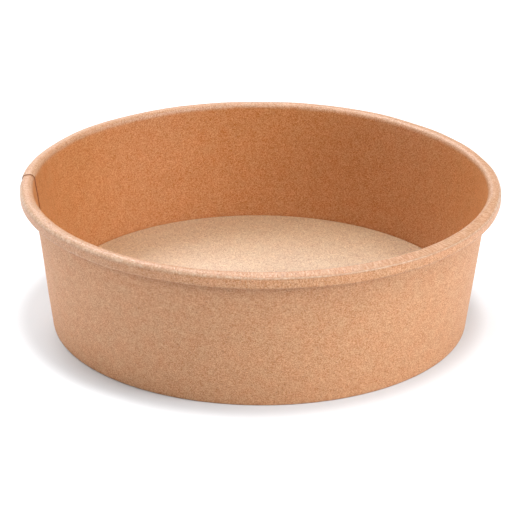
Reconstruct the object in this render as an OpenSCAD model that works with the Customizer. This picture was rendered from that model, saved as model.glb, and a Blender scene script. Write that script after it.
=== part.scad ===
// Paper salad bowl with a rolled rim.
// One fan-shaped board blank is wrapped into a tapered wall and lapped at a side seam. Its top edge
// is rolled outwards into the rim, and its bottom edge is folded inwards and up as a hem. The floor
// is a second piece of board: a disc whose edge is drawn down into a skirt, and the skirt is held
// between the wall and the hem. The origin is on the table at the bowl's centre, and the seam's
// inner edge is on the -X side.

/* [Bowl] */
// Outside diameter over the rolled rim
rim_d = 150; // [130:1:190]
// Outside diameter of the foot
base_d = 131; // [112:1:134]
// Height from the table to the top of the rim
bowl_h = 46; // [30:1:90]

/* [Board] */
// Thickness of the wall's board
wall_t = 0.4; // [0.25:0.01:0.5]
// Thickness of the floor's board
disc_t = 0.36; // [0.25:0.01:0.5]
// Thickness of the film that bonds the floor's skirt to the wall
seal_t = 0.03; // [0.02:0.01:0.08]

/* [Rolled rim] */
// Width of the roll, from the wall's inner face outwards
roll_w = 4.0; // [3.6:0.1:6]
// Height of the roll
roll_h = 4.6; // [4.2:0.1:7]
// Radius where the wall turns out into the roll
roll_inner_r = 1.5; // [1.0:0.1:1.6]
// Radius of the roll's upper outer corner
roll_outer_r = 1.3; // [1.0:0.1:1.5]
// Radius of the roll's lower outer corner
roll_lower_r = 1.4; // [1.0:0.1:1.6]
// Radius where the roll's edge turns up beside the wall
roll_tuck_r = 1.1; // [0.9:0.1:1.2]
// Length of the edge that is tucked up inside the roll
roll_tuck = 0.9; // [0.3:0.1:1.2]
// Free gap between the tucked edge and the wall's lap seam
roll_gap = 0.1; // [0.05:0.01:0.2]

/* [Side seam] */
// Width of the lap, where the blank's two ends lie on each other
lap_w = 8; // [5:0.5:14]
// Width over which the outer layer steps back in line with the wall
ramp_w = 5; // [2:0.5:8]
// Height above the table up to which the lap is pressed as flat as one layer
press_h = 1.4; // [1.2:0.1:2.0]
// Height over which the lap's layers part again above the pressed foot
press_rise = 1; // [0.5:0.1:1.5]

/* [Foot and floor] */
// Height of the floor's upper face above the table
floor_h = 7.4; // [5:0.1:12]
// Height of the folded hem inside the foot
hem_h = 5.6; // [3:0.1:6]
// Radius at the two corners of the foot's fold
foot_r = 0.5; // [0.4:0.02:0.54]
// Radius where the floor turns down into its skirt
skirt_r = 0.7; // [0.5:0.1:1.5]
// Free gap between the skirt's lower edge and the fold
skirt_gap = 0.15; // [0.05:0.05:0.5]

/* [Hidden] */
$fn = 84;

arc_step = 34;
ramp_steps = 4;

// The seam's layers are rooted in the wall at depths seam_root apart, each runs join_a degrees into
// the next, and their free edges lie edge_lag short of the wall's.
seam_root = 0.03;
join_a = 0.1;
edge_lag = 0.06;

wall_kraft = [0.80, 0.59, 0.41];
disc_kraft = [0.87, 0.71, 0.55];

// The wall's middle surface is a straight line from the foot to the mouth.
foot_mid_r = base_d / 2 - wall_t / 2;
mouth_mid_r = rim_d / 2 - roll_w + wall_t / 2;
taper = atan2(mouth_mid_r - foot_mid_r, bowl_h);
up = 90 - taper;

// Radius of the wall's middle surface at height z, moved outwards square to the wall.
function wall_r(z, out = 0) = foot_mid_r + z * tan(taper) + out / cos(taper);

// Steps from the wall's middle surface, square to it, to the pieces that lie beside it.
skirt_step = wall_t / 2 + seal_t + disc_t / 2;
hem_step = wall_t + 2 * seal_t + disc_t;
tuck_step = 2 * wall_t + roll_gap;

// A path is a list of stations [r, z, heading]. Its heading is in degrees, 0 outwards and 90 up.
// The food side of the board is always on the left of the path.
function arc_parts(turn) = max(1, ceil(abs(turn) / arc_step));

// Station at the end of a straight run.
function run_from(s, length) = [s.x + length * cos(s.z), s.y + length * sin(s.z), s.z];

// Station after a bend of a given radius, where a positive turn bends to the left.
function bend_from(s, radius, turn) =
    let (side = sign(turn), next = s.z + turn)
    [
        s.x + side * radius * (sin(next) - sin(s.z)),
        s.y - side * radius * (cos(next) - cos(s.z)),
        next,
    ];

// All stations of a bend after its first.
function bend_stations(s, radius, turn) =
    let (parts = arc_parts(turn))
    [for (i = [1:parts]) bend_from(s, radius, turn * i / parts)];

// Follows moves [length] or [radius, turn] from station s, and lists every station.
function follow(s, moves, i = 0) =
    i == len(moves) ? [s] :
    let (
        move = moves[i],
        made = len(move) == 1 ? [run_from(s, move[0])] : bend_stations(s, move[0], move[1]),
        last = made[len(made) - 1],
        start = [for (k = [0:1:len(made) - 2]) made[k]]
    )
    concat([s], start, follow(last, moves, i + 1));

// Point beside a station, a given distance to its left.
function beside(s, left) = [s.x - left * sin(s.z), s.y + left * cos(s.z)];

// Outline of the board along a path, between two distances to its left.
function board_outline(path, food_side, outer_side) = concat(
    [for (s = path) beside(s, food_side)],
    [for (i = [len(path) - 1:-1:0]) beside(path[i], outer_side)]
);

// The same path with its last run made longer or shorter.
function with_end(path, extra) = let (last = len(path) - 1)
    [for (i = [0:last]) i < last ? path[i] : run_from(path[i], extra)];

// Outline of a band beside the board. It starts between two distances at the path's first station,
// and lies between the other two from the second station on.
function band_outline(path, near, far, near_start, far_start) = concat(
    [for (i = [0:len(path) - 1]) beside(path[i], i == 0 ? near_start : near)],
    [for (i = [len(path) - 1:-1:0]) beside(path[i], i == 0 ? far_start : far)]
);

// Path of the wall's blank: down the hem, round the foot, up the wall and round the rolled rim.
foot_bend = foot_r - wall_t / 2;
hem_end_z = wall_t / 2 + foot_bend * (1 + sin(taper));
wall_start_z = wall_t / 2 + foot_bend * (1 - sin(taper));
foot_flat = wall_r(wall_start_z) - wall_r(hem_end_z, -hem_step) - 2 * foot_bend * cos(taper);

inner_bend = roll_inner_r - wall_t / 2;
outer_bend = roll_outer_r - wall_t / 2;
lower_bend = roll_lower_r - wall_t / 2;
roll_mid_r = rim_d / 2 - wall_t / 2;
roll_bottom_z = bowl_h - roll_h + wall_t / 2;
wall_end_z = bowl_h - wall_t / 2 - inner_bend * (1 - sin(taper));
roll_top_flat = roll_mid_r - outer_bend - wall_r(wall_end_z) - inner_bend * cos(taper);
roll_side = roll_h - wall_t - outer_bend - lower_bend;
tuck_start_z = roll_bottom_z + roll_tuck_r * (1 + sin(taper));
roll_bottom_flat = roll_mid_r - lower_bend - wall_r(tuck_start_z, tuck_step) - roll_tuck_r * cos(taper);

hem_path = follow([wall_r(press_h, -hem_step), press_h, up], [
    [press_rise / cos(taper)],
    [(hem_h - press_h - press_rise) / cos(taper)],
]);
foot_path = follow([wall_r(press_h, -hem_step), press_h, up - 180], [
    [(press_h - hem_end_z) / cos(taper)],
    [foot_bend, 180 - up],
    [foot_flat],
    [foot_bend, up],
]);
side_path = follow([wall_r(press_h), press_h, up], [
    [press_rise / cos(taper)],
    [(wall_end_z - press_h - press_rise) / cos(taper)],
    [inner_bend, -up],
    [roll_top_flat],
    [outer_bend, -90],
    [roll_side],
    [lower_bend, -90],
    [roll_bottom_flat],
    [roll_tuck_r, up - 180],
    [roll_tuck],
]);
hem_top = [hem_path[2].x, hem_path[2].y, up - 180];
wall_path = concat([hem_top], foot_path, side_path);

// Path of the floor: out from the centre, round its edge and down the skirt.
skirt_bend = skirt_r - disc_t / 2;
floor_mid_z = floor_h - disc_t / 2;
skirt_start_z = floor_mid_z - skirt_bend * (1 + sin(taper));
skirt_end_z = wall_t + skirt_gap;
skirt_start_r = wall_r(skirt_start_z, -skirt_step);

disc_path = follow([0, floor_mid_z, 0], [
    [skirt_start_r - skirt_bend * cos(taper)],
    [skirt_bend, up - 180],
    [(skirt_start_z - skirt_end_z) / cos(taper)],
]);

// The seam, measured at the rim. The inner layer ends at seam_a. The outer layer runs on under it
// for the lap, and steps back in line with the wall on the other side of the inner layer's edge.
seam_a = 180;
lap_a = lap_w / (rim_d / 2) * 180 / PI;
step_a = ramp_w / ramp_steps / (rim_d / 2) * 180 / PI;
half_t = wall_t / 2;

// How far the outer layer lies outside the wall's line on each step of the ramp.
function layer_step(i) = wall_t * (1 - i / ramp_steps);

// A sector of a revolved outline, from one angle to another.
module sector(from, to, outline) {
    rotate([0, 0, from])
        rotate_extrude(angle = to - from)
            polygon(outline);
}

// The board that the seam adds outside the wall's line. The path's left is the food side when side
// is 1, and the outside when it is -1.
module seam_layer(path, side) {
    for (i = [0:ramp_steps - 1]) {
        root = side * (i + 0.5) * seam_root;
        sector(
            seam_a + i * step_a - (i == 0 ? lap_a : step_a / 2),
            seam_a + (i + 1) * step_a + join_a,
            band_outline(with_end(path, -edge_lag), root, -side * (half_t + layer_step(i)), root, -side * 0.8 * half_t)
        );
    }
}

// The room that the seam leaves inside the wall's line, beyond the inner layer's edge.
module seam_room(path, side) {
    for (i = [0:ramp_steps - 1]) {
        air = half_t + seam_root * (ramp_steps + 1 - i);
        sector(
            seam_a + i * step_a - (i == 0 ? 0 : step_a / 2),
            seam_a + (i + 1) * step_a,
            band_outline(with_end(path, edge_lag), side * air, side * (half_t - layer_step(i)), side * air, side * (air + half_t) / 2)
        );
    }
}

module side_wall() {
    color(wall_kraft) difference() {
        union() {
            rotate_extrude()
                polygon(board_outline(wall_path, half_t, -half_t));
            seam_layer(side_path, 1);
            seam_layer(hem_path, -1);
        }
        seam_room(side_path, 1);
        seam_room(hem_path, -1);
    }
}

module bottom_disc() {
    color(disc_kraft)
        rotate_extrude()
            polygon(board_outline(disc_path, disc_t / 2, -disc_t / 2));
}

side_wall();
bottom_disc();
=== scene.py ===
"""Paper salad bowl with a rolled rim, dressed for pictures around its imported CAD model.

The bowl is two pieces of kraft board. The side wall is one blank, lapped at a side seam, rolled
outwards at the rim and folded inwards at the foot. The floor is a disc with a drawn-down skirt.
Sizes are in millimetres until a mesh is made, and angles are in degrees unless a name says otherwise.
"""

import logging
import math
from dataclasses import dataclass, field
from enum import Enum
from typing import Any

import bpy
import numpy as np
from mathutils import Matrix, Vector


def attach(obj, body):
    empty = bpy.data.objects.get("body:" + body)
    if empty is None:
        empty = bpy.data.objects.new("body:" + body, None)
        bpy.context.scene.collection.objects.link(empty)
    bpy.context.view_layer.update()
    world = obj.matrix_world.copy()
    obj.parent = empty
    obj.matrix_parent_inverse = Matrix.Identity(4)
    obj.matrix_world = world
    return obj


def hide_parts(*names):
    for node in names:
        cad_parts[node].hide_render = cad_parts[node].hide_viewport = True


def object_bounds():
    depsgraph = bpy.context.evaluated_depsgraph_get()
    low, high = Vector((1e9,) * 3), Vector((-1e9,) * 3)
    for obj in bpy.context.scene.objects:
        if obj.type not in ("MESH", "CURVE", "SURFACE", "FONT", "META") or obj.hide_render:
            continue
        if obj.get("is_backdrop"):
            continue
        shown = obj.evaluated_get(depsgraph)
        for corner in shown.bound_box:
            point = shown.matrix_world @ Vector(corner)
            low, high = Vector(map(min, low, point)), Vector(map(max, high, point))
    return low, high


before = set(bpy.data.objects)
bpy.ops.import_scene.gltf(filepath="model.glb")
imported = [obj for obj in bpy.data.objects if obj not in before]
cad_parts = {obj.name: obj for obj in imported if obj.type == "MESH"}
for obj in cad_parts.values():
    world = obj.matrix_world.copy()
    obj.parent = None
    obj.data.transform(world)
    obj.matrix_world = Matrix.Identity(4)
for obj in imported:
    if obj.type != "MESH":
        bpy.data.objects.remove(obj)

log = logging.getLogger("paper_bowl")

MM = 0.001
WHITE = (1.0, 1.0, 1.0, 1.0)

# Two faces that meet at more than this angle show a sharp edge
SHARP_ANGLE = 50.0
# Factors that bring the raw noise and the raw random levels to a spread of about 1
NOISE_SPREAD = 7.0
FLECK_SPREAD = 3.46
# Angle round the bowl of the inner layer's cut edge at the side seam
SEAM_EDGE = 180.0
# How far the hidden sides lie from the film sides in the board's flat pattern
OUTER_CHART = 200.0
UNDER_CHART = 300.0


class Side(Enum):
    """The three kinds of board surface, as material slot numbers of a piece."""

    FOOD = 0
    OUTER = 1
    CUT = 2


def smooth_step(x: np.ndarray) -> np.ndarray:
    """Rise from 0 to 1 as x goes from 0 to 1, as 3x^2 - 2x^3, flat outside that."""
    t = np.clip(x, 0.0, 1.0)
    return t * t * (3.0 - 2.0 * t)


def ramp_up(x: np.ndarray, start: float, width: float) -> np.ndarray:
    """Rise smoothly from 0 at start to 1 at start + width."""
    return smooth_step((x - start) / width)


def wander(angle: np.ndarray, seed: int, lowest: int, highest: int) -> np.ndarray:
    """Make a smooth random curve that closes on itself round the bowl.

    It is the sum over k of a_k cos(k angle + p_k), for k from lowest to highest, with random a_k and
    p_k, scaled so that its spread is 1.

    Args:
        angle: angles round the bowl, in degrees.
        seed: the number that the random amplitudes and phases start from.
        lowest: the fewest waves round the bowl.
        highest: the most waves round the bowl.

    Returns:
        One value for each angle.
    """
    rng = np.random.default_rng(seed)
    waves = np.arange(lowest, highest + 1)
    size = rng.normal(size=waves.size) / np.sqrt(waves)
    phase = rng.uniform(0.0, 2.0 * np.pi, waves.size)
    turns = np.radians(angle)[:, None] * waves[None, :] + phase[None, :]
    return (np.cos(turns) * size[None, :]).sum(1) / np.sqrt((size ** 2).sum() / 2.0)


@dataclass(frozen=True)
class Move:
    """One run or bend of a path: its length for a run, or its radius and turn for a bend."""

    parts: int
    length: float = 0.0
    radius: float = 0.0
    turn: float = 0.0


def trace(start: tuple[float, float, float], moves: list[Move]) -> np.ndarray:
    """Follow runs and bends from a start, and list the points on the way.

    A run of length L adds L (cos a, sin a) for heading a. A bend of radius R to a heading b adds
    R (sin b - sin a, cos a - cos b), with its sign turned for a bend to the right.

    Args:
        start: radius, height and heading of the first point.
        moves: the runs and bends in order.

    Returns:
        Points as rows of radius and height.
    """
    r, z, heading = start
    rows = [np.array([[r, z]])]
    for move in moves:
        share = np.linspace(0.0, 1.0, move.parts + 1)[1:]
        now = math.radians(heading)
        if move.radius == 0.0:
            step = np.stack([np.cos(now) * move.length * share, np.sin(now) * move.length * share], 1)
        else:
            side = math.copysign(1.0, move.turn)
            later = now + math.radians(move.turn) * share
            swing = np.stack([np.sin(later) - np.sin(now), np.cos(now) - np.cos(later)], 1)
            step = side * move.radius * swing
            heading += move.turn
        rows.append(np.array([[r, z]]) + step)
        r, z = rows[-1][-1]
    return np.concatenate(rows)


def left_of(path: np.ndarray) -> np.ndarray:
    """Work out the unit normals on the left of paths.

    Args:
        path: points as radius and height, counted along the axis before the last.

    Returns:
        The slope at each point, made one long and turned to the left.
    """
    ahead = np.gradient(path, axis=-2)
    ahead /= np.linalg.norm(ahead, axis=-1, keepdims=True)
    return np.stack([-ahead[..., 1], ahead[..., 0]], -1)


def length_along(path: np.ndarray) -> np.ndarray:
    """Return the length of the path up to each of its points."""
    steps = np.linalg.norm(np.diff(path, axis=0), axis=1)
    return np.concatenate([[0.0], np.cumsum(steps)])


def grid_faces(across: int, along: int, offset: int, turned: bool) -> np.ndarray:
    """List the four-sided faces of a grid of points that are numbered along first.

    Args:
        across: points in the first direction.
        along: points in the second direction.
        offset: number of the grid's first point.
        turned: whether the faces look the other way.

    Returns:
        Point numbers, four to a row.
    """
    first, second = np.meshgrid(np.arange(across - 1), np.arange(along - 1), indexing="ij")
    corner = (first * along + second).ravel() + offset
    faces = np.stack([corner, corner + along, corner + along + 1, corner + 1], 1)
    return faces[:, ::-1] if turned else faces


def put_mesh(
    name: str, points: np.ndarray, faces: np.ndarray, slots: np.ndarray, uv: np.ndarray
) -> bpy.types.Object:
    """Make a mesh object at the origin from points and four-sided faces.

    A face whose last two point numbers are equal is put in as a triangle.

    Args:
        name: name of the piece.
        points: places in metres, one row each.
        faces: point numbers, four to a row.
        slots: material slot number of each face.
        uv: pattern place of each face corner, four to a face.

    Returns:
        The new object, linked to the scene.
    """
    three = faces[:, 2] == faces[:, 3]
    sides = np.where(three, 3, 4)
    keep = np.ones(faces.shape, bool)
    keep[three, 3] = False
    starts = np.concatenate([[0], np.cumsum(sides)[:-1]])
    mesh = bpy.data.meshes.new(name)
    mesh.vertices.add(len(points))
    mesh.vertices.foreach_set("co", points.astype(np.float32).ravel())
    mesh.loops.add(int(sides.sum()))
    mesh.loops.foreach_set("vertex_index", faces[keep].astype(np.int32))
    mesh.polygons.add(len(faces))
    mesh.polygons.foreach_set("loop_start", starts.astype(np.int32))
    mesh.polygons.foreach_set("material_index", slots.astype(np.int32))
    mesh.update(calc_edges=True)
    mesh.uv_layers.new(name="board").data.foreach_set("uv", uv[keep].astype(np.float32).ravel())
    mesh.shade_smooth()
    mesh.set_sharp_from_angle(angle=math.radians(SHARP_ANGLE))
    mesh.validate()
    thing = bpy.data.objects.new(name, mesh)
    bpy.context.scene.collection.objects.link(thing)
    return thing


@dataclass(frozen=True)
class Board:
    """A grade of paper board and the free gaps left where it lies on another sheet."""

    thick: float
    gap: float = 0.03


@dataclass(frozen=True)
class Roll:
    """The section of the rolled rim at one place round the bowl."""

    inner_r: float = 1.5
    outer_r: float = 1.3
    lower_r: float = 1.4
    tuck_r: float = 1.1
    tuck: float = 0.9
    slant: float = 0.0


@dataclass(frozen=True)
class Drift:
    """How far a real wall and rim stray from the true round form, in millimetres.

    A zone is the height where a drift starts and the height over which it grows to its full size.
    The belly's end is the same for its fading.
    """

    slow: float = 0.10
    quick: float = 0.025
    inset: float = 0.165
    belly: float = 0.07
    slow_lift: float = 0.06
    quick_lift: float = 0.02
    drop: float = 0.16
    rim_zone: tuple[float, float] = (9.0, 30.0)
    belly_zone: tuple[float, float] = (8.0, 16.0)
    belly_end: tuple[float, float] = (26.0, 18.0)


@dataclass
class SideWall:
    """The wall's blank: folded foot, tapered wall and rolled rim, lapped at the side seam.

    A pair whose name has start, end, zone, below or beyond says where a change starts and how wide it
    is. The turns and the crisp pairs are angles round the bowl, and the skive is a thinned cut edge.
    """

    board: Board = Board(0.4)
    rim_r: float = 75.0
    base_r: float = 65.5
    height: float = 46.0
    roll_w: float = 4.0
    roll_h: float = 4.6
    roll_gap: float = 0.1
    lap_w: float = 8.0
    ramp_w: float = 8.0
    press_h: float = 1.4
    press_rise: float = 1.0
    hem_h: float = 5.6
    foot_r: float = 0.5
    hem_gap: float = 0.42
    knee_h: float = 7.4
    foot_stations: int = 20
    columns: int = 600
    crowding: float = 0.552
    chart_r: float = 70.0
    plain: Roll = Roll(inner_r=1.9, outer_r=1.75, lower_r=0.8)
    pressed: Roll = Roll(inner_r=0.8, outer_r=0.7, lower_r=0.8, slant=10.0)
    crisp_start: tuple[float, float] = (262.0, 14.0)
    crisp_end: tuple[float, float] = (334.0, 26.0)
    crisp_wander: float = 0.12
    sag: float = 0.5
    sag_zone: tuple[float, float] = (41.0, 4.6)
    drift: Drift = Drift()
    skive: float = 0.15
    skive_w: float = 2.0
    seam_ease: float = 0.14
    ease_turn: float = 3.0
    press_turn: float = 1.2
    edge_lift: tuple[tuple[float, float], ...] = (
        (0.0, 0.45), (185.0, 0.45), (250.0, 0.42), (264.0, 0.2), (273.0, 0.0), (281.0, 0.08),
        (296.0, -0.27), (310.0, -0.07), (330.0, 0.25), (350.0, 0.45), (360.0, 0.45),
    )
    edge_zone: tuple[float, float] = (39.0, 2.0)
    edge_below: tuple[float, float] = (1.2, 2.4)
    edge_beyond: tuple[float, float] = (0.4, 1.2)
    seed: int = 11
    piece: Any = field(default=None, repr=False)

    @property
    def taper(self) -> float:
        """Lean of the wall from upright, in degrees."""
        rise = self.rim_r - self.roll_w + self.board.thick / 2 - self.base_r + self.board.thick / 2
        return math.degrees(math.atan2(rise, self.height))

    def radius_at(self, z: float, out: float = 0.0) -> float:
        """Return the radius of the wall's middle surface at height z, moved outwards square to the wall."""
        lean = math.radians(self.taper)
        return self.base_r - self.board.thick / 2 + z * math.tan(lean) + out / math.cos(lean)

    def section(self, roll: Roll) -> np.ndarray:
        """Trace the board's middle line from the hem's top, round the foot, up the wall and round the roll.

        Args:
            roll: shape of the rolled rim.

        Returns:
            Points as rows of radius and height, the same number for every shape of roll.
        """
        t = self.board.thick
        up = 90.0 - self.taper
        cos_up, sin_up = math.cos(math.radians(up)), math.sin(math.radians(up))
        hem_out = -(t + self.hem_gap)
        foot = self.foot_r - t / 2
        hem_end = t / 2 + foot * (1 + cos_up)
        wall_start = t / 2 + foot * (1 - cos_up)
        flat = self.radius_at(wall_start) - self.radius_at(hem_end, hem_out) - 2 * foot * sin_up
        inner, outer = roll.inner_r - t / 2, roll.outer_r - t / 2
        lower = roll.lower_r - t / 2
        tip = math.radians(roll.slant)
        wall_end = self.height - t / 2 - inner * (1 - cos_up)
        side_r = self.rim_r - t / 2
        bends = outer * (1 - math.sin(tip)) + inner * (math.sin(tip) + sin_up)
        top = (side_r - bends - self.radius_at(wall_end)) / math.cos(tip)
        side_top = (
            wall_end + inner * (math.cos(tip) - cos_up) - top * math.sin(tip) - outer * math.cos(tip)
        )
        bottom_z = self.height - self.roll_h + t / 2
        tuck_start = bottom_z + roll.tuck_r * (1 + cos_up)
        bottom = side_r - lower - self.radius_at(tuck_start, 2 * t + self.roll_gap) - roll.tuck_r * sin_up
        return trace(
            (self.radius_at(self.hem_h, hem_out), self.hem_h, up - 180.0),
            [
                Move(4, length=(self.hem_h - hem_end) / sin_up),
                Move(4, radius=foot, turn=180.0 - up),
                Move(1, length=flat),
                Move(4, radius=foot, turn=up),
                Move(5, length=(self.knee_h - wall_start) / sin_up),
                Move(14, length=(wall_end - self.knee_h) / sin_up),
                Move(8, radius=inner, turn=-(up + roll.slant)),
                Move(3, length=top),
                Move(7, radius=outer, turn=-(90.0 - roll.slant)),
                Move(3, length=side_top - bottom_z - lower),
                Move(6, radius=lower, turn=-90.0),
                Move(2, length=bottom),
                Move(5, radius=roll.tuck_r, turn=up - 180.0),
                Move(2, length=roll.tuck),
            ],
        )

    def arc(self, width: float) -> float:
        """Return the angle of a width measured along the rim, in degrees."""
        return math.degrees(width / self.rim_r)

    def angles(self) -> np.ndarray:
        """Place the columns of the mesh, closer together at the seam.

        Returns:
            Angles from the outer layer's cut edge round to the inner layer's.
        """
        first, last = SEAM_EDGE - self.arc(self.lap_w), SEAM_EDGE + 360.0
        even = np.linspace(0.0, 1.0, self.columns)
        eased = even - self.crowding * np.sin(2.0 * np.pi * even) / (2.0 * np.pi)
        return first + (last - first) * eased

    def crispness(self, angle: np.ndarray) -> np.ndarray:
        """Work out how far the rim is pressed to its slanted shape.

        Args:
            angle: the columns' angles.

        Returns:
            A share from 0 to 1 for each column.
        """
        turn = np.mod(angle, 360.0)
        front = ramp_up(turn, *self.crisp_start) * (1.0 - ramp_up(turn, *self.crisp_end))
        return np.clip(front + self.crisp_wander * wander(angle, self.seed + 5, 5, 14), 0.0, 1.0)

    def middle(self, angle: np.ndarray) -> tuple[np.ndarray, np.ndarray]:
        """Work out the board's middle surface, with the small wander of a real rim.

        The section is (1 - w) plain + w pressed, where w is the crispness, and its top sags by w times
        a small drop. The wall then moves by a slow wander that grows from nothing at the floor to its
        full size at the rim. The roll's lower edge is lifted or lowered by the amounts in edge_lift.

        Args:
            angle: the columns' angles.

        Returns:
            Radius and height for each column and station, and the plain section's length along.
        """
        plain, pressed = self.section(self.plain), self.section(self.pressed)
        mix = self.crispness(angle)[:, None, None]
        lines = (1.0 - mix) * plain[None] + mix * pressed[None]
        drift, z = self.drift, lines[..., 1]
        rise = ramp_up(z, *drift.rim_zone)
        belly = ramp_up(z, *drift.belly_zone) * (1.0 - ramp_up(z, *drift.belly_end))
        slow, quick = wander(angle, self.seed, 2, 5), wander(angle, self.seed + 1, 9, 26)
        out = rise * (drift.slow * slow + drift.quick * quick - drift.inset)[:, None]
        out += belly * (drift.belly * wander(angle, self.seed + 2, 3, 9))[:, None]
        waves = drift.slow_lift * wander(angle, self.seed + 3, 2, 7) + drift.quick_lift * quick
        lift = rise * (waves - drift.drop)[:, None]
        lift -= self.sag * mix[..., 0] * ramp_up(z, *self.sag_zone)
        margin, depth = self.edge_below
        under = smooth_step((self.height - margin - z) / depth) * ramp_up(z, *self.edge_zone)
        clear, width = self.edge_beyond
        beyond = ramp_up(lines[..., 0], self.radius_at(self.height) + clear, width)
        places, amounts = np.array(self.edge_lift).T
        lift += under * beyond * np.interp(np.mod(angle, 360.0), places, amounts)[:, None]
        lines = lines + np.stack([out, lift], -1)
        return lines, length_along(plain)

    def depths(self, angle: np.ndarray, z: np.ndarray) -> tuple[np.ndarray, np.ndarray]:
        """Work out how far the two faces of the board lie from its middle surface.

        Under the lap the outer layer is moved out by a board's thickness and a gap, and comes back in
        line past the inner layer's edge, which is pressed a little thinner. In the pressed foot the
        two layers share one thickness.

        Args:
            angle: the columns' angles.
            z: height for each column and station.

        Returns:
            Distance to the left of the path for the food side and for the outer side.
        """
        t, gap = self.board.thick, self.board.gap
        lap, end = self.arc(self.lap_w), SEAM_EDGE + 360.0
        under = (1.0 - ramp_up(angle, SEAM_EDGE, self.arc(self.ramp_w)))[:, None]
        over = ramp_up(angle, end - lap - self.press_turn, self.press_turn)[:, None]
        low = np.arange(z.shape[1]) < self.foot_stations
        press = (1.0 - ramp_up(z, self.press_h, self.press_rise)) * low
        skive_turn = self.arc(self.skive_w)
        thinner = self.skive * ramp_up(angle, end - skive_turn, skive_turn)[:, None]
        eased = ramp_up(angle, end - lap - self.ease_turn, self.ease_turn)[:, None]
        raised = self.seam_ease * eased * (1.0 - press)
        shift = raised - (t + gap - self.seam_ease) * under * (1.0 - press)
        food = t / 2 + shift - thinner * (1.0 - press) - (t / 2 + gap / 2) * under * press
        outer = -t / 2 + shift + (t / 2 - gap / 2) * over * press
        return food, outer

    def build(self) -> bpy.types.Object:
        """Make the wall as one closed sheet: its food side, its outer side and its cut edges.

        Each surface is the middle surface moved along its left normal.

        Returns:
            The wall's mesh object.
        """
        angle = self.angles()
        lines, along = self.middle(angle)
        normal, z = left_of(lines), lines[..., 1]
        turn = np.radians(angle)[:, None]
        shells = []
        for depth in self.depths(angle, z):
            place = lines + normal * depth[..., None]
            across, upright = place[..., 0], place[..., 1]
            shells.append(np.stack([across * np.cos(turn), across * np.sin(turn), upright], -1))
        columns, stations = z.shape
        points = np.concatenate([shell.reshape(-1, 3) for shell in shells]) * MM
        total = columns * stations
        number = np.arange(total).reshape(columns, stations)
        fronts = grid_faces(columns, stations, 0, True)
        backs = grid_faces(columns, stations, total, False)
        rims = []
        edges = ((number[:, 0], False), (number[:, -1], True), (number[0], True), (number[-1], False))
        for line, turned in edges:
            strip = np.stack([line[:-1], line[1:], line[1:] + total, line[:-1] + total], 1)
            rims.append(strip[:, ::-1] if turned else strip)
        faces = np.concatenate([fronts, backs, *rims])
        counts = (len(fronts), len(backs), sum(len(rim) for rim in rims))
        slots = np.repeat([Side.FOOD.value, Side.OUTER.value, Side.CUT.value], counts)
        chart = np.stack(np.broadcast_arrays(turn * self.chart_r, along[None, :]), -1).reshape(-1, 2)
        chart = np.concatenate([chart, chart + (0.0, OUTER_CHART)]) * MM
        piece = put_mesh("bowl_wall", points, faces, slots, chart[faces])
        self.piece = piece
        return piece


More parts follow.
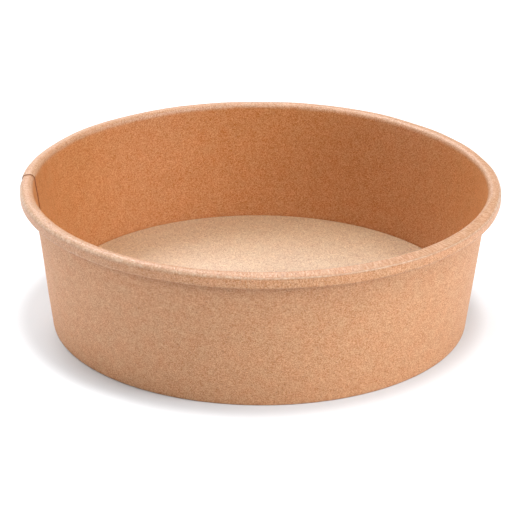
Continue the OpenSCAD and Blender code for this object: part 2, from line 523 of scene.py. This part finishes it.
@dataclass
class BottomDisc:
    """The floor's blank: a flat disc whose edge is drawn down into a skirt."""

    board: Board = Board(0.36)
    wall: SideWall = field(default_factory=SideWall)
    floor_h: float = 7.4
    skirt_r: float = 0.9
    skirt_gap: float = 0.15
    hub_r: float = 0.6
    columns: int = 300
    swell: tuple[tuple[float, float, float, float], ...] = (
        (0.04, 0.11, 0.05, 0.4), (0.03, 0.06, -0.13, 2.1), (0.02, 0.21, 0.17, 4.0)
    )
    swell_end: tuple[float, float] = (52.0, 10.0)
    piece: Any = field(default=None, repr=False)

    def section(self) -> np.ndarray:
        """Trace the floor's middle line from near the centre out to its edge and down the skirt.

        Returns:
            Points as rows of radius and height.
        """
        t = self.board.thick
        lean = math.radians(self.wall.taper)
        out = -(self.wall.board.thick / 2 + self.board.gap + t / 2)
        bend = self.skirt_r - t / 2
        mid = self.floor_h - t / 2
        start = mid - bend * (1 + math.sin(lean))
        flat = self.wall.radius_at(start, out) - bend * math.cos(lean)
        end = self.wall.board.thick + self.skirt_gap
        return trace(
            (self.hub_r, mid, 0.0),
            [
                Move(52, length=flat - self.hub_r),
                Move(7, radius=bend, turn=-(90.0 + self.wall.taper)),
                Move(5, length=(start - end) / math.cos(lean)),
            ],
        )

    def build(self) -> bpy.types.Object:
        """Make the floor as one closed sheet with a point at the middle of each face.

        The flat part rises and falls by under 0.1 mm: the sum over the rows of swell of
        a cos(p x + q y + s), faded out towards the skirt.

        Returns:
            The floor's mesh object.
        """
        line = self.section()
        normal = left_of(line)
        along = length_along(line) + line[0, 0]
        angle = np.linspace(0.0, 2.0 * np.pi, self.columns + 1)
        shells = []
        for depth in (self.board.thick / 2, -self.board.thick / 2):
            place = line + normal * depth
            x, y = np.outer(np.cos(angle), place[:, 0]), np.outer(np.sin(angle), place[:, 0])
            fade = 1.0 - ramp_up(np.hypot(x, y), *self.swell_end)
            waves = sum(a * np.cos(p * x + q * y + s) for a, p, q, s in self.swell)
            shells.append(np.stack([x, y, place[None, :, 1] + fade * waves], -1))
        stations = len(line)
        tops, bottoms = (shell[:-1].reshape(-1, 3) for shell in shells)
        total = self.columns * stations
        middles = np.array([[0.0, 0.0, shell[:, 0, 2].mean()] for shell in shells])
        points = np.concatenate([tops, bottoms, middles]) * MM
        wrap = np.concatenate([np.arange(self.columns), [0]])
        number = wrap[:, None] * stations + np.arange(stations)[None, :]
        sides = [number[:-1, :-1], number[1:, :-1], number[1:, 1:], number[:-1, 1:]]
        quad = np.stack(sides, -1).reshape(-1, 4)
        near, far = number[:-1, 0], number[1:, 0]
        fan = np.stack([np.full(self.columns, 2 * total), near, far, far], 1)
        under = np.stack([np.full(self.columns, 2 * total + 1), far + total, near + total, near + total], 1)
        edge = np.stack([number[:-1, -1], number[1:, -1]], 1)
        strip = np.stack([edge[:, 1], edge[:, 0], edge[:, 0] + total, edge[:, 1] + total], 1)
        faces = np.concatenate([quad[:, ::-1], fan, quad + total, under, strip])
        counts = (len(quad) + len(fan), len(quad) + len(under), len(strip))
        slots = np.repeat([Side.FOOD.value, Side.OUTER.value, Side.CUT.value], counts)
        turn = angle[:-1]
        flat = np.stack([np.outer(np.cos(turn), along), np.outer(np.sin(turn), along)], -1).reshape(-1, 2)
        chart = np.concatenate([flat, flat + (UNDER_CHART, 0.0), [[0.0, 0.0], [UNDER_CHART, 0.0]]]) * MM
        piece = put_mesh("bowl_floor", points, faces, slots, chart[faces])
        self.piece = piece
        return piece


class Field:
    """A shader value that can be used in Python expressions, each of which adds Math nodes."""

    def __init__(self, tree: "Tree", socket: bpy.types.NodeSocket) -> None:
        """Keep the tree and the socket that gives the value."""
        self.tree, self.socket = tree, socket

    def math(self, operation: str, *others: Any) -> "Field":
        """Return a Math node's result on this value and the others."""
        return self.tree.math(operation, self, *others)

    def __add__(self, other: Any) -> "Field":
        """Return self + other."""
        return self.math("ADD", other)

    __radd__ = __add__

    def __sub__(self, other: Any) -> "Field":
        """Return self - other."""
        return self.math("SUBTRACT", other)

    def __rsub__(self, other: Any) -> "Field":
        """Return other - self."""
        return self.tree.math("SUBTRACT", other, self)

    def __mul__(self, other: Any) -> "Field":
        """Return self * other."""
        return self.math("MULTIPLY", other)

    __rmul__ = __mul__

    def __abs__(self) -> "Field":
        """Return the value without its sign."""
        return self.math("ABSOLUTE")

    def between(self, low: float, high: float) -> "Field":
        """Rise smoothly from 0 to 1.

        Args:
            low: value up to which the result is 0.
            high: value from which the result is 1.

        Returns:
            The risen value.
        """
        return self.tree.put(
            "ShaderNodeMapRange",
            {"interpolation_type": "SMOOTHSTEP"},
            {"Value": self, "From Min": low, "From Max": high, "To Min": 0.0, "To Max": 1.0},
        )


class Tree:
    """The node tree of a material or of the world."""

    def __init__(self, owner: Any) -> None:
        """Empty the owner's node tree and keep it."""
        owner.use_nodes = True
        self.material = owner
        self.nodes, self.links = owner.node_tree.nodes, owner.node_tree.links
        self.nodes.clear()

    def put(self, kind: str, settings: dict[str, Any], sockets: dict[Any, Any], out: Any = None) -> Field:
        """Add a node, with its settings first and then its sockets.

        Args:
            kind: the node's type name.
            settings: properties of the node.
            sockets: values or fields for its inputs, by name or number.
            out: name or number of the output to return, or None for the first that is in use.

        Returns:
            The chosen output.
        """
        node = self.nodes.new(kind)
        for key, value in settings.items():
            setattr(node, key, value)
        for key, value in sockets.items():
            if isinstance(value, Field):
                self.links.new(value.socket, node.inputs[key])
            else:
                node.inputs[key].default_value = value
        if out is None:
            out = next(i for i, socket in enumerate(node.outputs) if socket.enabled)
        return Field(self, node.outputs[out])

    def math(self, operation: str, *values: Any) -> Field:
        """Return a Math node's result on the values."""
        return self.put("ShaderNodeMath", {"operation": operation}, dict(enumerate(values)))

    def axis(self, vector: Field, name: str) -> Field:
        """Return one part of a vector, X, Y or Z."""
        return self.put("ShaderNodeSeparateXYZ", {}, {"Vector": vector}, name)

    def vector(self, operation: str, first: Any, second: Any) -> Field:
        """Return a Vector Math node's result on two vectors."""
        return self.put("ShaderNodeVectorMath", {"operation": operation}, {0: first, 1: second})

    def close(self, shader: Field) -> None:
        """Join the shader to the output of the material or the world.

        Args:
            shader: the finished shader.
        """
        world = isinstance(self.material, bpy.types.World)
        end = self.nodes.new("ShaderNodeOutputWorld" if world else "ShaderNodeOutputMaterial")
        self.links.new(shader.socket, end.inputs["Surface"])

    def seen(self) -> Field:
        """Tell rays that show a thing in the picture from rays that only light it.

        Returns:
            1 for a ray from the camera, in a gloss or through glass, and 0 for the others.
        """
        path = self.nodes.new("ShaderNodeLightPath")
        names = ("Is Camera Ray", "Is Glossy Ray", "Is Transmission Ray")
        eye, gloss, through = (Field(self, path.outputs[name]) for name in names)
        return eye.math("MAXIMUM", gloss.math("MAXIMUM", through))

    def blend(self, share: Any, low: Any, high: Any) -> Field:
        """Return a colour mixed from low to high by share."""
        return self.put("ShaderNodeMix", {"data_type": "RGBA"}, {0: share, 6: low, 7: high}, 2)

    def tint(self, colour: Any, gain: Any) -> Field:
        """Return a colour multiplied by another one."""
        kind = {"data_type": "RGBA", "blend_type": "MULTIPLY"}
        return self.put("ShaderNodeMix", kind, {0: 1.0, 6: colour, 7: gain}, 2)

    def chart(self, turn: float, stretch: tuple[float, float], warp: float = 0.0) -> Field:
        """Return the board's own pattern place in millimetres, turned and then stretched.

        Args:
            turn: turn of the pattern in degrees.
            stretch: repeats to the millimetre along and across the turned pattern.
            warp: how far, in pattern units, slow noise pushes the place aside.

        Returns:
            A vector field.
        """
        place = self.put("ShaderNodeUVMap", {"uv_map": "board"}, {})
        spin = (0.0, 0.0, math.radians(turn))
        moved = {"Vector": place, "Rotation": spin}
        turned = self.put("ShaderNodeMapping", {"vector_type": "POINT"}, moved)
        scaled = self.vector("MULTIPLY", turned, (stretch[0] / MM, stretch[1] / MM, 1.0))
        if warp == 0.0:
            return scaled
        slow = {"Vector": scaled, "Scale": 0.7, "Detail": 1.0}
        push = self.put("ShaderNodeTexNoise", {"noise_dimensions": "2D"}, slow, "Color")
        centred = self.vector("SUBTRACT", push, (0.5, 0.5, 0.5))
        return self.vector("ADD", scaled, self.vector("MULTIPLY", centred, (warp, warp, 0.0)))

    def noise(self, place: Field, scale: float, detail: float, rough: float = 0.5) -> Field:
        """Make smooth noise about zero.

        Args:
            place: pattern place.
            scale: waves to the millimetre.
            detail: how many finer layers are added.
            rough: how strong each finer layer is against the one before.

        Returns:
            The noise, raised so that its spread is about 1.
        """
        sockets = {"Vector": place, "Scale": scale, "Detail": detail, "Roughness": rough}
        made = self.put("ShaderNodeTexNoise", {"noise_dimensions": "2D"}, sockets)
        return (made - 0.5) * NOISE_SPREAD

    def flecks(self, place: Field, scale: float) -> Field:
        """Make a random level for each small patch of the surface.

        Args:
            place: pattern place.
            scale: patches to the millimetre.

        Returns:
            Levels about zero with a spread of about 1.
        """
        sockets = {"Vector": place, "Scale": scale}
        made = self.put("ShaderNodeTexVoronoi", {"voronoi_dimensions": "2D"}, sockets, "Color")
        return (self.axis(made, "X") - 0.5) * FLECK_SPREAD

    def dots(self, place: Field, scale: float, share: float, size: float) -> Field:
        """Make scattered round dots.

        Args:
            place: pattern place.
            scale: patches to the millimetre.
            share: share of the patches that have a dot.
            size: radius of a dot, as a share of a patch.

        Returns:
            1 inside a dot and 0 elsewhere.
        """
        flat, spot = {"voronoi_dimensions": "2D"}, {"Vector": place, "Scale": scale}
        near = self.put("ShaderNodeTexVoronoi", flat, spot, "Distance")
        lot = self.axis(self.put("ShaderNodeTexVoronoi", flat, spot, "Color"), "Y")
        return (1.0 - near.between(size * 0.5, size)) * (1.0 - lot.between(share * 0.8, share))


@dataclass(frozen=True)
class Crest:
    """How the film side looks where it is rolled over the rim: its crest, its face and two painted
    highlight lines.

    Places are counted in millimetres along the board from the hem's top. A pair says where a change
    starts and where it is full, or, for the edge of a line, how far that is from its middle.
    """

    start: tuple[float, float] = (49.9, 51.5)
    end: tuple[float, float] = (59.8, 60.4)
    face: tuple[float, float] = (55.0, 56.4)
    gloss: float = 0.1
    shine: float = 0.2
    crease: float = 0.035
    top_tint: tuple[float, float, float] = (0.88, 1.08, 1.5)
    face_tint: tuple[float, float, float] = (1.24, 1.42, 1.8)
    # Painted highlights: one line along the crest between the top and the face, one along the roll's lower
    # edge
    upper_line: float = 55.0
    upper_edge: tuple[float, float] = (0.1, 0.8)
    lower_line: float = 59.5
    lower_edge: tuple[float, float] = (0.1, 0.4)
    lower_strength: float = 0.3
    # Colour of the painted highlight lines
    painted_highlight: tuple[float, float, float, float] = (0.92, 0.76, 0.60, 1.0)

    def cover(self, along: Field) -> Field:
        """Return 1 on the roll and 0 on the rest of the board, from the places along it."""
        return along.between(*self.start) * (1.0 - along.between(*self.end))

    def wrinkle(self, tree: Tree) -> Field:
        """Return the height of the fine creases that the rolling leaves."""
        return tree.noise(tree.chart(0.0, (1.0, 0.4)), 1.9, 2.0, 0.6) * self.crease

    def paint(self, tree: Tree, along: Field, colour: Field) -> Field:
        """Tint the crest and the face of the roll, and paint highlights along two lines.

        Args:
            tree: the material's nodes.
            along: place along the board.
            colour: the board's colour.

        Returns:
            The new colour.
        """
        faced = tree.blend(along.between(*self.face), self.top_tint + (1.0,), self.face_tint + (1.0,))
        colour = tree.tint(colour, tree.blend(self.cover(along), WHITE, faced))
        # Painted highlight along the crest line, flickering with noise, and along the roll's lower edge
        highlight_flicker = tree.noise(tree.chart(0.0, (1.0, 0.6)), 0.9, 2.0).between(-0.8, 1.4)
        upper = (1.0 - abs(along - self.upper_line).between(*self.upper_edge)) * (highlight_flicker * 0.2 + 0.1)
        lower = (1.0 - abs(along - self.lower_line).between(*self.lower_edge)) * self.lower_strength
        return tree.blend(upper + lower, colour, self.painted_highlight)


@dataclass(frozen=True)
class RibsAndRollShade:
    """The hem's pressed ribs on the wall's outer side, and painted shade with a dark line under the roll.

    Places are counted in millimetres along the pattern of the outer side. A pair says where a change
    starts and where it is full.
    """

    pitch: float = 2.4
    depth: float = 0.08
    hem_start: tuple[float, float] = (200.3, 200.8)
    hem_end: tuple[float, float] = (204.6, 205.2)
    # Painted shade under the roll: where the soft band starts and is full, its share, and the dark line
    # just below the roll's edge
    shadow: tuple[float, float] = (243.5, 246.4)
    shadow_share: float = 0.45
    line: tuple[float, float] = (246.1, 246.6)
    # Colour of the painted shade under the roll
    tint: tuple[float, float, float, float] = (0.55, 0.46, 0.36, 1.0)

    def ribs(self, across: Field, along: Field) -> Field:
        """Make the ribs that crimp the hem to the floor's skirt.

        Args:
            across: place across the board, round the bowl.
            along: place along the board.

        Returns:
            Height of the ribs in millimetres.
        """
        rib = (across * (2.0 * math.pi / self.pitch)).math("SINE").between(-0.3, 0.5)
        hem = (1.0 - along.between(*self.hem_end)) * along.between(*self.hem_start)
        return rib * hem * self.depth

    def paint(self, tree: Tree, along: Field, colour: Field) -> Field:
        """Paint shade on the board under the roll, darkest along a line just below the roll's lower edge.

        Args:
            tree: the material's nodes.
            along: place along the board.
            colour: the board's colour.

        Returns:
            The new colour.
        """
        # Painted shade under the roll: a soft band that deepens to a dark line below the roll's lower edge
        shadow = along.between(*self.shadow) * self.shadow_share
        near = shadow + along.between(*self.line) * (1.0 - self.shadow_share)
        return tree.tint(colour, tree.blend(near, WHITE, self.tint))


@dataclass(frozen=True)
class Kraft:
    """A side of kraft board: its tone, how strongly its fibres show, and its gloss.

    The gain says how far each channel moves with one step of the grain, and reach how many steps the
    grain may go either way. The hue does the same for the slow drift between pinker and yellower.
    """

    name: str
    tone: tuple[float, float, float]
    gain: tuple[float, float, float] = (0.042, 0.086, 0.17)
    reach: float = 8.0
    hue: tuple[float, float, float] = (0.012, -0.010, -0.022)
    hue_reach: float = 2.0
    contrast: float = 1.0
    speck_tone: tuple[float, float, float] = (0.55, 0.38, 0.25)
    speck_strength: float = 0.6
    relief: float = 0.002
    rough: float = 0.6
    rough_drift: float = 0.02
    specular: float = 0.5
    ior: float = 1.5
    film_ior: float = 2.0
    streaks: float = 0.0
    crest: Crest | None = None
    ribs_and_roll_shade: RibsAndRollShade | None = None

    def fibres(self, tree: Tree, turn: float, width: float, scale: float) -> Field:
        """Make thin winding threads along the lines where stretched and pushed noise crosses zero.

        Args:
            tree: the material's nodes.
            turn: how far the pattern is turned.
            width: level of the noise at which a thread ends.
            scale: how fine the threads are.

        Returns:
            1 in the middle of a thread and 0 beside it.
        """
        place = tree.chart(turn, (0.35 * scale, 1.9 * scale), 1.1)
        return 1.0 - abs(tree.noise(place, 1.0, 1.0)).between(0.0, width)

    def shade(self, step: float) -> tuple[float, float, float, float]:
        """Return the tone with each channel raised by its gain times a step, never below nothing."""
        return tuple(c * max(0.0, 1.0 + step * g) for c, g in zip(self.tone, self.gain)) + (1.0,)

    def swing(self, step: float) -> tuple[float, float, float, float]:
        """Return the tint that moves each channel by its hue times a step."""
        return tuple(1.0 + step * h for h in self.hue) + (1.0,)

    def paint(self, tree: Tree, grain: Field) -> Field:
        """Colour the board from its grain, its slow drift of hue and its dark specks.

        Args:
            tree: the material's nodes.
            grain: the grain, in steps about zero.

        Returns:
            The board's colour.
        """
        level = grain * (0.5 * self.contrast / self.reach) + 0.5
        colour = tree.blend(level, self.shade(-self.reach), self.shade(self.reach))
        drift = tree.noise(tree.chart(50.0, (1.0, 1.0)), 0.2, 3.0) * 0.25 + 0.5
        swung = tree.blend(drift, self.swing(-self.hue_reach), self.swing(self.hue_reach))
        colour = tree.tint(colour, swung)
        specks = tree.dots(tree.chart(31.0, (0.6, 0.95)), 0.62, 0.2, 0.14)
        soot = tuple(c * share for c, share in zip(self.tone, self.speck_tone)) + (1.0,)
        return tree.blend(specks * self.speck_strength, colour, soot)

    def make(self) -> bpy.types.Material:
        """Build the material.

        The grain is a weighted sum of random patches of 0.2 and 0.5 mm, noises of about 1, 4 and
        13 mm, and light and dark fibre threads. It moves the tone between a darker, browner one and
        a lighter, greyer one. The fine part of the grain also raises the surface.

        Returns:
            The finished material.
        """
        tree = Tree(bpy.data.materials.new(self.name))
        plain = tree.chart(0.0, (1.0, 1.0))
        across, along = tree.axis(plain, "X"), tree.axis(plain, "Y")
        dust = tree.flecks(plain, 5.0)
        chips = tree.flecks(tree.chart(23.0, (0.7, 1.25), 0.5), 1.9)
        flock = tree.noise(plain, 0.85, 2.0, 0.6)
        patch = tree.noise(plain, 0.24, 1.0)
        cloud = tree.noise(plain, 0.075, 2.0)
        light = self.fibres(tree, 17.0, 0.20, 1.0) + self.fibres(tree, 74.0, 0.17, 1.25)
        dark = self.fibres(tree, 128.0, 0.17, 1.1)
        grain = dust * 4.1 + chips * 0.6 + flock * 0.25 + patch * 0.22 + cloud * 0.18
        grain = grain + light * 0.7 - dark * 0.8 - 0.1
        if self.streaks:
            grain = grain + tree.noise(tree.chart(0.0, (1.0, 0.05)), 0.32, 2.0) * self.streaks
        colour = self.paint(tree, grain)
        height = (tree.noise(plain, 2.6, 1.0) * 0.5 + flock * 0.7 + light * 0.5) * self.relief
        rough: Any = (flock + dust) * self.rough_drift + self.rough
        coat: Any = 0.0
        if self.crest:
            rolled = self.crest.cover(along)
            colour = self.crest.paint(tree, along, colour)
            height = height + self.crest.wrinkle(tree) * rolled
            rough = rough - rolled * self.crest.gloss
            coat = rolled * self.crest.shine
        if self.ribs_and_roll_shade:
            # Painted shade under the roll, besides the hem's real ribs
            colour = self.ribs_and_roll_shade.paint(tree, along, colour)
            height = height + self.ribs_and_roll_shade.ribs(across, along)
        normal = tree.put("ShaderNodeBump", {}, {"Strength": 1.0, "Distance": MM, "Height": height})
        sockets = {
            "Base Color": colour,
            "Roughness": rough,
            "Specular IOR Level": self.specular,
            "IOR": self.ior,
            "Coat Weight": coat,
            "Coat IOR": self.film_ior,
            "Coat Roughness": self.rough,
            "Normal": normal,
        }
        tree.close(tree.put("ShaderNodeBsdfPrincipled", {}, sockets, "BSDF"))
        return tree.material


FOOD_SIDE = Kraft(
    "kraft_film_side", tone=(0.45, 0.180, 0.060), gain=(0.037, 0.068, 0.125), rough=0.5, streaks=0.08,
    crest=Crest(),
)
# The outer side has the hem's ribs and painted shade under the roll
WALL_OUTSIDE = Kraft(
    "kraft_outside", tone=(0.592, 0.284, 0.130), gain=(0.034, 0.066, 0.105), rough=0.6, ior=1.6,
    ribs_and_roll_shade=RibsAndRollShade(),
)
CUT_EDGE = Kraft("kraft_cut_edge", tone=(0.28, 0.14, 0.07), rough=0.85, specular=0.2, contrast=0.6)
FLOOR_TOP = Kraft(
    "kraft_floor_film_side", tone=(0.42, 0.275, 0.155), gain=(0.075, 0.11, 0.125), rough=0.42, specular=1.0,
    ior=2.0, rough_drift=0.008,
)
FLOOR_UNDER = Kraft("kraft_floor_underside", tone=(0.54, 0.27, 0.125), rough=0.65)


@dataclass
class PaperBowl:
    """The whole bowl: its wall and its floor, and which kraft each side shows."""

    wall: SideWall = field(default_factory=SideWall)
    bottom: BottomDisc = field(default_factory=BottomDisc)

    def dress(self, piece: bpy.types.Object, food: Kraft, outer: Kraft, cut: Kraft) -> None:
        """Give a piece its materials, in the order of the kinds of side.

        Args:
            piece: the wall or the floor.
            food: kraft of the film side.
            outer: kraft of the side away from the food.
            cut: kraft of the cut edges.
        """
        for finish in (food, outer, cut):
            piece.data.materials.append(finish.make())

    def build(self) -> list[bpy.types.Object]:
        """Build and dress both pieces, and set them in the frame.

        Returns:
            The wall and the floor.
        """
        wall, floor = self.wall.build(), self.bottom.build()
        self.dress(wall, FOOD_SIDE, WALL_OUTSIDE, CUT_EDGE)
        self.dress(floor, FLOOR_TOP, FLOOR_UNDER, CUT_EDGE)
        named = ((wall, "side_wall", "wall_kraft"), (floor, "bottom_disc", "floor_kraft"))
        for piece, node, slot in named:
            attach(piece, "root")
            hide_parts(node)
            log.info("%s stands for %s, %d faces", piece.name, node, len(piece.data.polygons))
        return [wall, floor]


@dataclass(frozen=True)
class Softbox:
    """A square soft lamp that points at the bowl from a turn and a rise, both in degrees.

    A turn of 0 is on the bowl's right, 90 behind it, 180 on its left and 270 in front of it.
    """

    name: str
    turn: float
    rise: float
    power: float
    side: float = 0.5
    distance: float = 1.4
    aim_h: float = 0.03

    def hang(self) -> bpy.types.Object:
        """Add the lamp, turned so that its face looks at the bowl.

        Returns:
            The lamp.
        """
        data = bpy.data.lights.new(self.name, "AREA")
        data.shape, data.size, data.energy = "SQUARE", self.side, self.power
        lamp = bpy.data.objects.new(self.name, data)
        turn, rise = math.radians(self.turn), math.radians(self.rise)
        level = math.cos(rise)
        away = np.array([level * math.cos(turn), level * math.sin(turn), math.sin(rise)])
        side = np.array([-math.sin(turn), math.cos(turn), 0.0])
        pose = np.eye(4)
        pose[:3, :3] = np.stack([side, np.cross(away, side), away], 1)
        pose[:3, 3] = away * self.distance + (0.0, 0.0, self.aim_h)
        lamp.matrix_world = Matrix(pose.tolist())
        lamp.visible_camera = False
        bpy.context.scene.collection.objects.link(lamp)
        return lamp


@dataclass
class Studio:
    """The white table, the soft lamps and the camera of the picture.

    The glow keeps the table white outside the bowl's shadow. It grows between two distances from its
    middle, in metres. The eye is in millimetres. The camera looks along +Y, turned to the left,
    tilted down and rolled by the three angles.
    """

    table_size: float = 4.0
    table_tone: float = 0.69
    table_tint: tuple[float, float, float] = (0.95, 1.0, 1.05)
    table_glow: float = 0.3
    glow_middle: tuple[float, float, float] = (-0.0035, 0.001, 0.0)
    glow_from: float = 0.069
    glow_to: float = 0.078
    lens: float = 166.15
    sensor: float = 36.0
    eye: tuple[float, float, float] = (36.52, -696.91, 316.955)
    turn: float = 2.9936
    tilt: float = 23.14707
    roll: float = 0.36893
    boxes: tuple[Softbox, ...] = (
        Softbox("right_low", 338.0, 18.0, 8.0),
        Softbox("right_front", 315.0, 33.0, 3.0),
        Softbox("right", 338.0, 48.0, 4.2),
        Softbox("right_high", 338.0, 63.0, 3.4),
        Softbox("right_front_high", 315.0, 63.0, 4.1),
        Softbox("front_top", 270.0, 78.0, 4.1),
        Softbox("front_left", 248.0, 48.0, 2.5),
        Softbox("left_low", 190.0, 7.0, 4.2),
        Softbox("left_back", 158.0, 48.0, 4.8),
        Softbox("back_left", 135.0, 48.0, 4.7),
        Softbox("back_left_high", 135.0, 63.0, 4.4),
        Softbox("back", 112.0, 48.0, 7.4),
    )

    def lay_table(self) -> bpy.types.Object:
        """Lay the white table top that the bowl stands on.

        Returns:
            The table top.
        """
        half = self.table_size / 2
        mesh = bpy.data.meshes.new("table_top")
        corners = [(-half, -half, 0.0), (half, -half, 0.0), (half, half, 0.0), (-half, half, 0.0)]
        mesh.from_pydata(corners, [], [(0, 1, 2, 3)])
        table = bpy.data.objects.new("table_top", mesh)
        bpy.context.scene.collection.objects.link(table)
        tree = Tree(bpy.data.materials.new("white_table"))
        tone = tuple(self.table_tone * c for c in self.table_tint) + (1.0,)
        matte = tree.put("ShaderNodeBsdfDiffuse", {}, {"Color": tone})
        place = tree.put("ShaderNodeTexCoord", {}, {}, "Object")
        aside = tree.vector("SUBTRACT", place, self.glow_middle)
        away = tree.put("ShaderNodeVectorMath", {"operation": "LENGTH"}, {0: aside}, "Value")
        open_table = away.between(self.glow_from, self.glow_to)
        strength = tree.seen() * open_table * self.table_glow
        glow = tree.put("ShaderNodeEmission", {}, {"Color": WHITE, "Strength": strength})
        tree.close(tree.put("ShaderNodeAddShader", {}, {0: matte, 1: glow}))
        mesh.materials.append(tree.material)
        table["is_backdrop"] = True
        return table

    def light_room(self) -> None:
        """Show the room as white to the camera and in glosses, and hang the lamps that light it."""
        world = bpy.data.worlds.new("white_room")
        bpy.context.scene.world = world
        tree = Tree(world)
        tree.close(tree.put("ShaderNodeBackground", {}, {"Color": WHITE, "Strength": tree.seen()}))
        for box in self.boxes:
            box.hang()

    def set_camera(self) -> bpy.types.Object:
        """Set the camera where the picture was taken from.

        Returns:
            The camera.
        """
        data = bpy.data.cameras.new("camera")
        data.lens, data.sensor_width, data.sensor_fit = self.lens, self.sensor, "HORIZONTAL"
        data.clip_start, data.clip_end = 0.01, 20.0
        turn, tilt, roll = (math.radians(angle) for angle in (self.turn, self.tilt, self.roll))
        level = math.cos(tilt)
        ahead = np.array([-math.sin(turn) * level, math.cos(turn) * level, -math.sin(tilt)])
        side = np.array([math.cos(turn), math.sin(turn), 0.0])
        top = np.cross(side, ahead)
        right = side * math.cos(roll) + top * math.sin(roll)
        up = top * math.cos(roll) - side * math.sin(roll)
        pose = np.eye(4)
        pose[:3, :3] = np.stack([right, up, -ahead], 1)
        pose[:3, 3] = np.array(self.eye) * MM
        camera = bpy.data.objects.new("camera", data)
        camera.matrix_world = Matrix(pose.tolist())
        bpy.context.scene.collection.objects.link(camera)
        bpy.context.scene.camera = camera
        return camera

    def build(self) -> None:
        """Set the camera, the table, the lamps and how the picture shows light."""
        self.set_camera()
        self.lay_table()
        self.light_room()
        bpy.context.scene.view_settings.view_transform = "Standard"


def corners() -> list[list[float]]:
    """Return the lowest and highest corner of what is shown, as plain lists."""
    return [[float(c) for c in corner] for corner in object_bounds()]


def main() -> None:
    """Build the studio and the bowl."""
    logging.basicConfig(level=logging.INFO, format="%(name)s: %(message)s")
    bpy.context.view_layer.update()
    Studio().build()
    PaperBowl().build()


if __name__ == "__main__":
    main()
